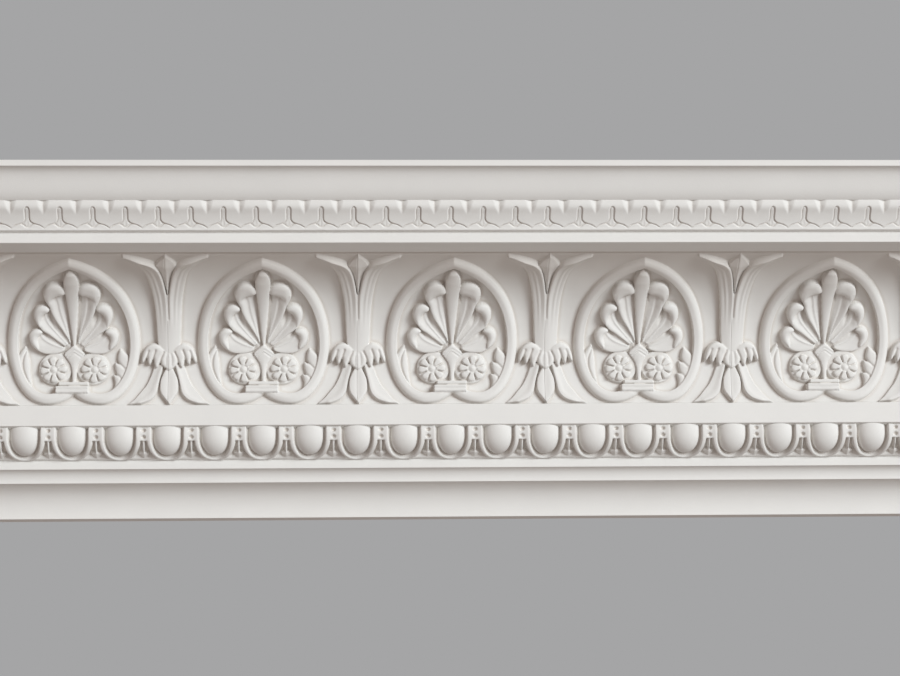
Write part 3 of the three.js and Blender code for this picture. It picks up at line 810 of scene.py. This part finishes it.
def section_outline(section, carving, at):
    """The closed section of the plain members, front first and then the hollow back, with pockets
    for the three carved courses. A part that is a bare pair is a corner that is softened."""
    bed = carving.bed
    cyma_start = np.array([at.cyma_back, at.cyma_foot])
    cyma_end = np.array([at.crown_face - section.crown_step, at.crown_foot])
    handle = section.cyma_height / 2
    handles = cyma_start + slanted(25, handle), cyma_end - slanted(5, handle)
    cyma, _ = bezier(cyma_start, *handles, cyma_end, np.linspace(0, 1, 25))
    ogee, normal = ogee_curve(at, np.linspace(0, 1, 9))
    back_radius = section.cove_radius + section.shell
    ovolo_bed = (section.ovolo_projection - bed, section.ovolo_height - bed)
    parts = [
        [(0, 0)],
        arc((section.lip + section.lower_cavetto, 0), section.lower_cavetto, 180, 90, 18),
        arc((at.ovolo_back, section.lower_cavetto), section.upper_cavetto, 180, 90, 10)[1:],
        [(at.ovolo_back, at.ovolo_foot + bed)],
        arc((at.ovolo_back, at.ovolo_top), ovolo_bed, -90, 0, 12)[1:],
        (at.bead_face, at.ovolo_top),
        (at.bead_face, at.bead_top),
        [(at.cove_back, at.bead_top), (at.cove_back, at.cove_base)],
        arc((at.cove_front, at.cove_base), section.cove_radius + bed, 180, 90, 24),
        [(at.cove_front, at.soffit)],
        (at.corona_face, at.soffit),
        [(at.corona_face, at.ogee_foot), ogee[0]],
        ogee - bed * normal,
        cyma,
        (at.crown_face, at.crown_foot),
        (at.crown_face, at.ceiling),
        [(at.crown_face - section.ceiling_strip, at.ceiling)],
        [(at.ogee_back - 0.8 * section.shell, at.cyma_foot - 0.2 * section.ogee_height)],
        arc((at.cove_front, at.cove_base), back_radius, 90, 180, 24),
        [(at.bead_face - 1.3 * section.shell, at.ovolo_top), (0, section.wall_strip)],
    ]
    outline = [np.asarray(part, float).reshape(-1, 2) for part in parts]
    first = np.cumsum([0] + [len(part) for part in outline])
    corners = [first[i] for i, part in enumerate(parts) if isinstance(part, tuple)]
    return softened(np.concatenate(outline), corners, carving.arris)


class CORNICE_OT_plain_members(Operator):
    """Make the plain members with the hollow back as one extruded body"""

    bl_idname = "cornice.plain_members"
    bl_label = "Plain members"

    def execute(self, context):
        section, carving, at, _ = setting_out(context)
        outline = section_outline(section, carving, at)
        columns = np.linspace(LOW.x, HIGH.x, 2 * section.repeats + 1)
        count = len(outline)
        points = placed(columns[:, None], outline[None, :, 0], outline[None, :, 1], section).reshape(-1, 3)
        grid = np.arange(len(columns) * count).reshape(len(columns), count)
        after = np.roll(grid, -1, axis=1)
        faces = [quads(grid[:-1], after[:-1], after[1:], grid[1:]), grid[0][::-1][None], grid[-1][None]]
        front = np.arange(count) < np.argmax(outline.sum(axis=1))
        bare = np.concatenate([np.tile(~front, len(columns) - 1), [True, True]])
        smooth = np.ones(len(bare), bool)
        smooth[-2:] = False
        piece = finish_piece("plain_members", points, faces, smooth, bare, np.zeros(len(points)))
        piece.data.set_sharp_from_angle(angle=math.radians(15))
        return {"FINISHED"}


class CORNICE_OT_frieze(Operator):
    """Carve the cove: one slab for each repeat, parted on the middle lines of the calyxes"""

    bl_idname = "cornice.frieze"
    bl_label = "Palmette frieze"

    def execute(self, context):
        section, carving, at, repeat = setting_out(context)
        girth = section.cove_radius * math.pi / 2
        half = SQUARES_ACROSS / 2

        def relief_at(u, v):
            return frieze_relief(u, v, carving)

        u, v, relief, hollow = carve(
            relief_at, (-half, half), (0, SQUARES_UP), (repeat, girth),
            carving.frieze_point, carving.steepness_pull, reach=3.2 * MM,
        )
        # Painted shade: the upper cove is tinted darker towards the soffit, for the shade under it.
        hollow = np.maximum(hollow, SHADE_SHARE * ease((v - SHADE_FROM) / (SQUARES_UP - SHADE_FROM)))
        fade = ease(v / 2) * ease((SQUARES_UP - v) / 2)
        turn = np.radians(90 * v / SQUARES_UP)

        def on_cove(rise, ends):
            reach = section.cove_radius - rise
            p = at.cove_front - reach * np.cos(turn[:, ends])
            return p, at.cove_base + reach * np.sin(turn[:, ends])

        for bay in range(section.repeats):
            x = LOW.x + (bay + 0.5 + u / SQUARES_ACROSS) * repeat
            height = relief + fade * waver(x, v / SQUARES_UP * girth, carving.waver)
            carved_slab(f"frieze_bay_{bay + 1}", x, on_cove, height, carving.bed, hollow, section)
        return {"FINISHED"}


class CORNICE_OT_egg_and_dart(Operator):
    """Carve the quarter round with eggs, shells and darts"""

    bl_idname = "cornice.egg_and_dart"
    bl_label = "Egg and dart"

    def execute(self, context):
        section, carving, at, repeat = setting_out(context)
        girth = (section.ovolo_projection + section.ovolo_height) * math.pi / 4

        def relief_at(x, angle):
            u = (x - LOW.x) / repeat * SQUARES_ACROSS
            return egg_relief(u, angle, carving.egg_recess, carving.egg_swell)

        x, angle, relief, hollow = carve(
            relief_at, (LOW.x, HIGH.x), (90, 0), (HIGH.x - LOW.x, girth),
            carving.course_point, carving.steepness_pull, reach=2.4 * MM,
        )
        turn = np.radians(angle)
        height = relief + waver(x, turn * section.ovolo_height, carving.waver) * ease(angle / 8)

        def on_ovolo(rise, ends):
            p = at.ovolo_back + (section.ovolo_projection + rise) * np.cos(turn[:, ends])
            return p, at.ovolo_top - (section.ovolo_height + rise) * np.sin(turn[:, ends])

        carved_slab("egg_and_dart", x, on_ovolo, height, carving.bed, hollow, section)
        return {"FINISHED"}


class CORNICE_OT_leaf_band(Operator):
    """Carve the ogee with a row of slotted leaves"""

    bl_idname = "cornice.leaf_band"
    bl_label = "Leaf band"

    def execute(self, context):
        section, carving, at, repeat = setting_out(context)
        girth = math.hypot(section.ogee_projection, section.ogee_height)
        middle = (LOW.x + HIGH.x) / 2

        def relief_at(x, line):
            u = (x - middle + carving.leaf_offset) / repeat * SQUARES_ACROSS
            return leaf_relief(u, line, carving.slot_depth)

        x, line, relief, hollow = carve(
            relief_at, (LOW.x, HIGH.x), (LEAF_FOOT_LINE, LEAF_TOP_LINE), (HIGH.x - LOW.x, girth),
            carving.course_point, carving.steepness_pull, reach=2 * MM,
        )
        share = (line - LEAF_FOOT_LINE) / (LEAF_TOP_LINE - LEAF_FOOT_LINE)
        points, normal = (table.reshape(*x.shape, 2) for table in ogee_curve(at, share.ravel()))
        height = relief + waver(x, share * girth, carving.waver) * ease(share / 0.1)

        def on_ogee(rise, ends):
            p = points[:, ends, 0] + normal[:, ends, 0] * rise
            return p, points[:, ends, 1] + normal[:, ends, 1] * rise

        carved_slab("leaf_band", x, on_ogee, height, carving.bed, hollow, section)
        return {"FINISHED"}


# Finishes


def new_material(name):
    """A material, its node tree and the inputs of its surface."""
    material = bpy.data.materials.new(name)
    material.use_nodes = True
    return material, material.node_tree, material.node_tree.nodes["Principled BSDF"].inputs


def add_node(tree, kind, inputs=None, **settings):
    """Adds a shader node with its settings; each input is given a value or another node's output."""
    node = tree.nodes.new(kind)
    for name, value in settings.items():
        setattr(node, name, value)
    for name, value in (inputs or {}).items():
        if isinstance(value, NodeSocket):
            tree.links.new(value, node.inputs[name])
        else:
            node.inputs[name].default_value = value
    return node


def grain_group():
    """Fine grain of plaster on object coordinates: mottling, and a bump height with a few small pits."""
    group = bpy.data.node_groups.new("plaster_grain", "ShaderNodeTree")
    for way, names in (("INPUT", ("Scale", "Pit amount")), ("OUTPUT", ("Mottle", "Height"))):
        for name in names:
            group.interface.new_socket(name=name, in_out=way, socket_type="NodeSocketFloat")
    entry = group.nodes.new("NodeGroupInput").outputs
    place = group.nodes.new("ShaderNodeTexCoord").outputs["Object"]
    scale = {0: place, "Scale": entry["Scale"]}
    scaled = add_node(group, "ShaderNodeVectorMath", scale, operation="SCALE").outputs[0]

    def noise(scale, detail):
        inputs = {"Vector": scaled, "Scale": scale, "Detail": detail}
        return add_node(group, "ShaderNodeTexNoise", inputs).outputs["Fac"]

    def result(operation, *values):
        return add_node(group, "ShaderNodeMath", dict(enumerate(values)), operation=operation).outputs[0]

    cells = add_node(group, "ShaderNodeTexVoronoi", {"Vector": scaled, "Scale": 105}).outputs
    edge = {"Value": cells["Distance"], "From Min": 0.13, "From Max": 0.05}
    pit = add_node(group, "ShaderNodeMapRange", edge).outputs["Result"]
    few = result("GREATER_THAN", cells["Color"], 0.86)
    pits = result("MULTIPLY", result("MULTIPLY", pit, few), entry["Pit amount"])
    ground = result("MULTIPLY_ADD", noise(160, 4), 0.5, noise(900, 3))
    height = result("SUBTRACT", ground, pits)
    add_node(group, "NodeGroupOutput", {"Mottle": noise(28, 4), "Height": height})
    return group


def plaster_material(name, colour, painted_shade, grain, pit_amount, bump, scale):
    """Matt plaster: the colour turns to the painted shade colour where the hollow mark is high, as painted
    shade, mottled and pitted a little.
    """
    material, tree, surface = new_material(name)
    amounts = {"Scale": scale, "Pit amount": pit_amount}
    texture = add_node(tree, "ShaderNodeGroup", amounts, node_tree=grain).outputs
    # Painted shade: the hollow mark blends the colour towards the painted shade colour.
    hollow = add_node(tree, "ShaderNodeAttribute", attribute_name="hollow").outputs["Fac"]
    colours = {"A": (*colour, 1), "B": (*painted_shade, 1), "Factor": hollow}
    tint = add_node(tree, "ShaderNodeMix", colours, data_type="RGBA").outputs["Result"]

    def mottled(low, high):
        span = {"Value": texture["Mottle"], "To Min": low, "To Max": high}
        return add_node(tree, "ShaderNodeMapRange", span).outputs["Result"]

    shade = {0: tint, "Scale": mottled(0.96, 1.02)}
    toned = add_node(tree, "ShaderNodeVectorMath", shade, operation="SCALE")
    relief = {"Strength": bump, "Distance": 0.2 * MM, "Height": texture["Height"]}
    surface["Specular IOR Level"].default_value = 0.3
    tree.links.new(toned.outputs[0], surface["Base Color"])
    tree.links.new(mottled(0.8, 0.92), surface["Roughness"])
    tree.links.new(add_node(tree, "ShaderNodeBump", relief).outputs["Normal"], surface["Normal"])
    return material


class CORNICE_OT_finishes(Operator):
    """Make the painted and the bare plaster"""

    bl_idname = "cornice.finishes"
    bl_label = "Plaster finishes"

    def execute(self, context):
        look = context.scene.cornice_look
        grain = grain_group()
        painted = {"pit_amount": 0.5, "bump": 0.25, "scale": 1}
        bare = {"pit_amount": 1, "bump": 0.6, "scale": 0.7}
        plaster_material("painted_plaster", look.face, look.painted_shade, grain, **painted)
        plaster_material("bare_plaster", look.back, look.painted_shade, grain, **bare)
        return {"FINISHED"}


class CORNICE_OT_studio(Operator):
    """Set up the camera, the lights and the floor"""

    bl_idname = "cornice.studio"
    bl_label = "Studio"

    def execute(self, context):
        scene, studio, look = context.scene, context.scene.cornice_studio, context.scene.cornice_look
        section = scene.cornice_section
        at = levels(section)
        tilted = Matrix.Rotation(math.pi / 2 + studio.elevation, 4, "X")
        turned = tilted @ Matrix.Rotation(-studio.turn, 4, "Y") @ Matrix.Rotation(studio.roll, 4, "Z")
        foot = Vector((-studio.left, -at.cove_back, at.cove_base - section.wall_strip / 2))
        aim = foot + tilted @ Vector((0, studio.aim_rise, 0))
        camera_data = bpy.data.cameras.new("camera")
        camera_data.lens = studio.lens
        camera_data.sensor_width = 36
        camera_data.clip_start = 0.05
        camera = bpy.data.objects.new("camera", camera_data)
        away = Matrix.Translation((0, 0, studio.distance))
        camera.matrix_world = Matrix.Translation(aim) @ turned @ away
        scene.collection.objects.link(camera)
        scene.camera = camera

        def soft_light(name, place, side, power):
            data = bpy.data.lights.new(name, "AREA")
            data.size = side
            data.energy = power
            data.color = look.key
            data.spread = studio.spread
            light = bpy.data.objects.new(name, data)
            light.location = place
            light.rotation_euler = (aim - Vector(place)).to_track_quat("-Z", "Y").to_euler()
            scene.collection.objects.link(light)

        soft_light("window_light", studio.key_place, studio.key_side, studio.key_power)
        soft_light("back_fill", studio.fill_place, studio.fill_side, studio.fill_power)

        world = bpy.data.worlds.new("studio")
        world.use_nodes = True
        tree = world.node_tree
        glow = tree.nodes["Background"]
        glow.inputs["Color"].default_value = (*look.bounce, 1)
        seen = add_node(tree, "ShaderNodeBackground", {"Color": (*look.surround, 1)})
        is_seen = tree.nodes.new("ShaderNodeLightPath").outputs["Is Camera Ray"]
        both = {"Fac": is_seen, 1: glow.outputs[0], 2: seen.outputs[0]}
        chosen = add_node(tree, "ShaderNodeMixShader", both)
        tree.links.new(chosen.outputs[0], tree.nodes["World Output"].inputs["Surface"])
        scene.world = world
        scene.view_settings.view_transform = "Standard"

        material, _, surface = new_material("pale_floor")
        surface["Base Color"].default_value = (*look.floor, 1)
        surface["Roughness"].default_value = 0.8
        level = -studio.floor_drop - section.wall_strip / 2
        bpy.ops.mesh.primitive_plane_add(size=studio.floor_side, location=(0, 0, level))
        floor = context.object
        floor.name = "floor"
        floor.data.materials.append(material)
        return {"FINISHED"}


class CORNICE_PT_sidebar(Panel):
    """Lists the steps in the order in which they are run"""

    bl_label = "Cornice"
    bl_idname = "CORNICE_PT_sidebar"
    bl_space_type = "VIEW_3D"
    bl_region_type = "UI"
    bl_category = "Cornice"

    def draw(self, context):
        column = self.layout.column()
        for step in STEPS:
            column.operator(step.bl_idname)
        for name in GROUPS:
            group = getattr(context.scene, name)
            box = self.layout.box()
            for size in group.__annotations__:
                box.prop(group, size)


STEPS = (
    CORNICE_OT_finishes,
    CORNICE_OT_plain_members,
    CORNICE_OT_frieze,
    CORNICE_OT_egg_and_dart,
    CORNICE_OT_leaf_band,
    CORNICE_OT_studio,
)
GROUPS = {
    "cornice_section": SectionSizes,
    "cornice_carving": CarvingSizes,
    "cornice_look": PlasterLook,
    "cornice_studio": StudioSizes,
}


def register():
    for kind in (*GROUPS.values(), *STEPS, CORNICE_PT_sidebar):
        bpy.utils.register_class(kind)
    for name, kind in GROUPS.items():
        setattr(bpy.types.Scene, name, PointerProperty(type=kind))


def unregister():
    for name in GROUPS:
        delattr(bpy.types.Scene, name)
    for kind in (CORNICE_PT_sidebar, *reversed(STEPS), *GROUPS.values()):
        bpy.utils.unregister_class(kind)


def main():
    register()
    bpy.ops.cornice.finishes()
    bpy.ops.cornice.plain_members()
    bpy.ops.cornice.frieze()
    bpy.ops.cornice.egg_and_dart()
    bpy.ops.cornice.leaf_band()
    bpy.ops.cornice.studio()


if __name__ == "__main__":
    main()
